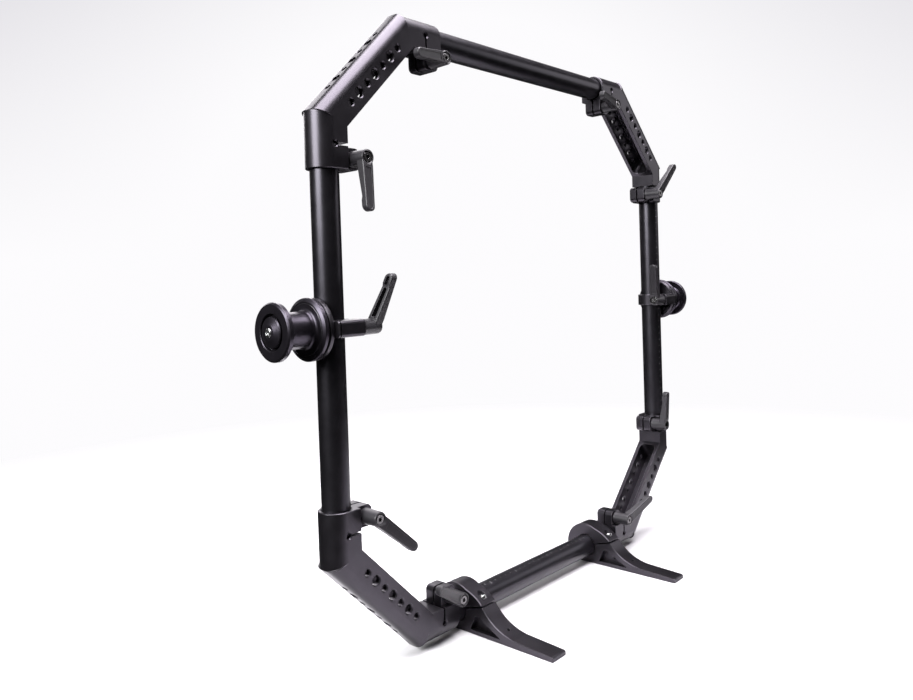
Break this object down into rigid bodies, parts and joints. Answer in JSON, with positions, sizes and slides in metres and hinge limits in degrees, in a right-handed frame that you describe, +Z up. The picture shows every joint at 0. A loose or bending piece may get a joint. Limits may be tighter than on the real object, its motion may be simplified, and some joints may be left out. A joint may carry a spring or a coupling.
{
  "type": "camera support ring",
  "caption": "Octagonal support ring of clamped tubes and slotted corner brackets, with bearing spools at the sides and clamped feet, for carrying a camera.",
  "frame": {"origin": "middle of the bounding box, on the surface that the feet stand on", "axes": "+X along the ring to the viewer's right, -Y to the front where the levers are, +Z up"},
  "size_m": [0.8184, 0.173, 0.7107],
  "materials": {
    "anodised_black": "bead-blasted black anodised, satin",
    "tube_black": "drawn and black anodised, satin, with white scale ticks",
    "lever_black": "fine-textured black powder coat on die-cast metal",
    "steel": "turned stainless steel",
    "black_steel": "black oxide steel"
  },
  "bodies": {
    "base": {"lower_left_bracket": "anodised_black", "left_tube": "tube_black", "bottom_tube": "tube_black"},
    "top_left": {"upper_left_bracket": "anodised_black", "top_tube": "tube_black"},
    "upper_right": {"upper_right_bracket": "anodised_black"},
    "lower_right": {"lower_right_bracket": "anodised_black", "right_tube": "tube_black"},
    "upper_left_side_screw": {"upper_left_side_lever_screw": "black_steel"},
    "upper_left_side_handle": {"upper_left_side_lever": "lever_black"},
    "upper_left_top_screw": {"upper_left_top_lever_screw": "black_steel"},
    "upper_left_top_handle": {"upper_left_top_lever": "lever_black"},
    "upper_right_top_screw": {"upper_right_top_lever_screw": "black_steel"},
    "upper_right_top_handle": {"upper_right_top_lever": "lever_black"},
    "upper_right_side_screw": {"upper_right_side_lever_screw": "black_steel"},
    "upper_right_side_handle": {"upper_right_side_lever": "lever_black"},
    "lower_right_side_screw": {"lower_right_side_lever_screw": "black_steel"},
    "lower_right_side_handle": {"lower_right_side_lever": "lever_black"},
    "lower_right_bottom_screw": {"lower_right_bottom_lever_screw": "black_steel"},
    "lower_right_bottom_handle": {"lower_right_bottom_lever": "lever_black"},
    "lower_left_side_screw": {"lower_left_side_lever_screw": "black_steel"},
    "lower_left_side_handle": {"lower_left_side_lever": "lever_black"},
    "lower_left_bottom_screw": {"lower_left_bottom_lever_screw": "black_steel"},
    "lower_left_bottom_handle": {"lower_left_bottom_lever": "lever_black"},
    "left_spool_mount": {"left_spool_clamp": "anodised_black", "left_spool_axle": "steel", "left_spool_cap": "anodised_black", "left_spool_screw": "steel"},
    "left_spool_wheel": {"left_spool": "anodised_black", "left_spool_inner_bearing": "steel", "left_spool_outer_bearing": "steel"},
    "left_spool_screw": {"left_spool_lever_screw": "black_steel"},
    "left_spool_handle": {"left_spool_lever": "lever_black"},
    "right_spool_mount": {"right_spool_clamp": "anodised_black", "right_spool_axle": "steel", "right_spool_cap": "anodised_black", "right_spool_screw": "steel"},
    "right_spool_wheel": {"right_spool": "anodised_black", "right_spool_inner_bearing": "steel", "right_spool_outer_bearing": "steel"},
    "right_spool_screw": {"right_spool_lever_screw": "black_steel"},
    "right_spool_handle": {"right_spool_lever": "lever_black"},
    "left_foot_clamp": {"left_foot": "anodised_black", "left_foot_cap": "anodised_black", "left_foot_front_screw": "steel", "left_foot_rear_screw": "steel"},
    "right_foot_clamp": {"right_foot": "anodised_black", "right_foot_cap": "anodised_black", "right_foot_front_screw": "steel", "right_foot_rear_screw": "steel"}
  },
  "joints": [
    {"name": "ring_height", "type": "slide", "parent": "base", "child": "top_left", "axis": [0, 0, 1], "range_m": [0, 0.02]},
    {"name": "ring_width", "type": "slide", "parent": "base", "child": "lower_right", "axis": [1, 0, 0], "range_m": [0, 0.02]},
    {"name": "ring_width_top", "type": "slide", "parent": "top_left", "child": "upper_right", "axis": [1, 0, 0], "range_m": [0, 0.02]},
    {"name": "upper_left_side_turn", "type": "hinge", "parent": "top_left", "child": "upper_left_side_screw", "pos_m": [-0.307, 0.0407, 0.5425], "axis": [0, -1, 0], "range_deg": [-15, 150]},
    {"name": "upper_left_side_lift", "type": "slide", "parent": "upper_left_side_screw", "child": "upper_left_side_handle", "axis": [0, -1, 0], "range_m": [0, 0.004], "stiffness_N_per_m": 500, "springref_m": -0.004},
    {"name": "upper_left_top_turn", "type": "hinge", "parent": "top_left", "child": "upper_left_top_screw", "pos_m": [-0.1845, 0.0407, 0.665], "axis": [0, -1, 0], "range_deg": [-15, 150]},
    {"name": "upper_left_top_lift", "type": "slide", "parent": "upper_left_top_screw", "child": "upper_left_top_handle", "axis": [0, -1, 0], "range_m": [0, 0.004], "stiffness_N_per_m": 500, "springref_m": -0.004},
    {"name": "upper_right_top_turn", "type": "hinge", "parent": "upper_right", "child": "upper_right_top_screw", "pos_m": [0.1845, 0.0407, 0.665], "axis": [0, -1, 0], "range_deg": [-15, 150]},
    {"name": "upper_right_top_lift", "type": "slide", "parent": "upper_right_top_screw", "child": "upper_right_top_handle", "axis": [0, -1, 0], "range_m": [0, 0.004], "stiffness_N_per_m": 500, "springref_m": -0.004},
    {"name": "upper_right_side_turn", "type": "hinge", "parent": "upper_right", "child": "upper_right_side_screw", "pos_m": [0.307, 0.0407, 0.5425], "axis": [0, -1, 0], "range_deg": [-15, 150]},
    {"name": "upper_right_side_lift", "type": "slide", "parent": "upper_right_side_screw", "child": "upper_right_side_handle", "axis": [0, -1, 0], "range_m": [0, 0.004], "stiffness_N_per_m": 500, "springref_m": -0.004},
    {"name": "lower_right_side_turn", "type": "hinge", "parent": "lower_right", "child": "lower_right_side_screw", "pos_m": [0.307, 0.0407, 0.1735], "axis": [0, -1, 0], "range_deg": [-15, 150]},
    {"name": "lower_right_side_lift", "type": "slide", "parent": "lower_right_side_screw", "child": "lower_right_side_handle", "axis": [0, -1, 0], "range_m": [0, 0.004], "stiffness_N_per_m": 500, "springref_m": -0.004},
    {"name": "lower_right_bottom_turn", "type": "hinge", "parent": "lower_right", "child": "lower_right_bottom_screw", "pos_m": [0.1845, 0.0407, 0.051], "axis": [0, -1, 0], "range_deg": [-15, 150]},
    {"name": "lower_right_bottom_lift", "type": "slide", "parent": "lower_right_bottom_screw", "child": "lower_right_bottom_handle", "axis": [0, -1, 0], "range_m": [0, 0.004], "stiffness_N_per_m": 500, "springref_m": -0.004},
    {"name": "lower_left_side_turn", "type": "hinge", "parent": "base", "child": "lower_left_side_screw", "pos_m": [-0.307, 0.0407, 0.1735], "axis": [0, -1, 0], "range_deg": [-15, 150]},
    {"name": "lower_left_side_lift", "type": "slide", "parent": "lower_left_side_screw", "child": "lower_left_side_handle", "axis": [0, -1, 0], "range_m": [0, 0.004], "stiffness_N_per_m": 500, "springref_m": -0.004},
    {"name": "lower_left_bottom_turn", "type": "hinge", "parent": "base", "child": "lower_left_bottom_screw", "pos_m": [-0.1845, 0.0407, 0.051], "axis": [0, -1, 0], "range_deg": [-15, 85]},
    {"name": "lower_left_bottom_lift", "type": "slide", "parent": "lower_left_bottom_screw", "child": "lower_left_bottom_handle", "axis": [0, -1, 0], "range_m": [0, 0.004], "stiffness_N_per_m": 500, "springref_m": -0.004},
    {"name": "left_spool_height", "type": "slide", "parent": "base", "child": "left_spool_mount", "axis": [0, 0, 1], "range_m": [-0.14, 0.05]},
    {"name": "left_spool_spin", "type": "hinge", "parent": "left_spool_mount", "child": "left_spool_wheel", "pos_m": [-0.381, 0.0535, 0.3705], "axis": [-1, 0, 0], "continuous": true},
    {"name": "left_spool_turn", "type": "hinge", "parent": "left_spool_mount", "child": "left_spool_screw", "pos_m": [-0.3172, 0.0265, 0.3705], "axis": [1, 0, 0], "range_deg": [-15, 150]},
    {"name": "left_spool_lift", "type": "slide", "parent": "left_spool_screw", "child": "left_spool_handle", "axis": [1, 0, 0], "range_m": [0, 0.004], "stiffness_N_per_m": 500, "springref_m": -0.004},
    {"name": "right_spool_height", "type": "slide", "parent": "lower_right", "child": "right_spool_mount", "axis": [0, 0, 1], "range_m": [-0.125, 0.1]},
    {"name": "right_spool_spin", "type": "hinge", "parent": "right_spool_mount", "child": "right_spool_wheel", "pos_m": [0.381, 0.0535, 0.373], "axis": [1, 0, 0], "continuous": true},
    {"name": "right_spool_turn", "type": "hinge", "parent": "right_spool_mount", "child": "right_spool_screw", "pos_m": [0.3172, 0.0265, 0.373], "axis": [-1, 0, 0], "range_deg": [-15, 150]},
    {"name": "right_spool_lift", "type": "slide", "parent": "right_spool_screw", "child": "right_spool_handle", "axis": [-1, 0, 0], "range_m": [0, 0.004], "stiffness_N_per_m": 500, "springref_m": -0.004},
    {"name": "left_foot_slide", "type": "slide", "parent": "base", "child": "left_foot_clamp", "axis": [1, 0, 0], "range_m": [-0.012, 0.12]},
    {"name": "right_foot_slide", "type": "slide", "parent": "base", "child": "right_foot_clamp", "axis": [1, 0, 0], "range_m": [-0.12, 0.026]}
  ],
  "couplings": [
    {"joint": "ring_width_top", "follows": "ring_width", "ratio": 1}
  ]
}
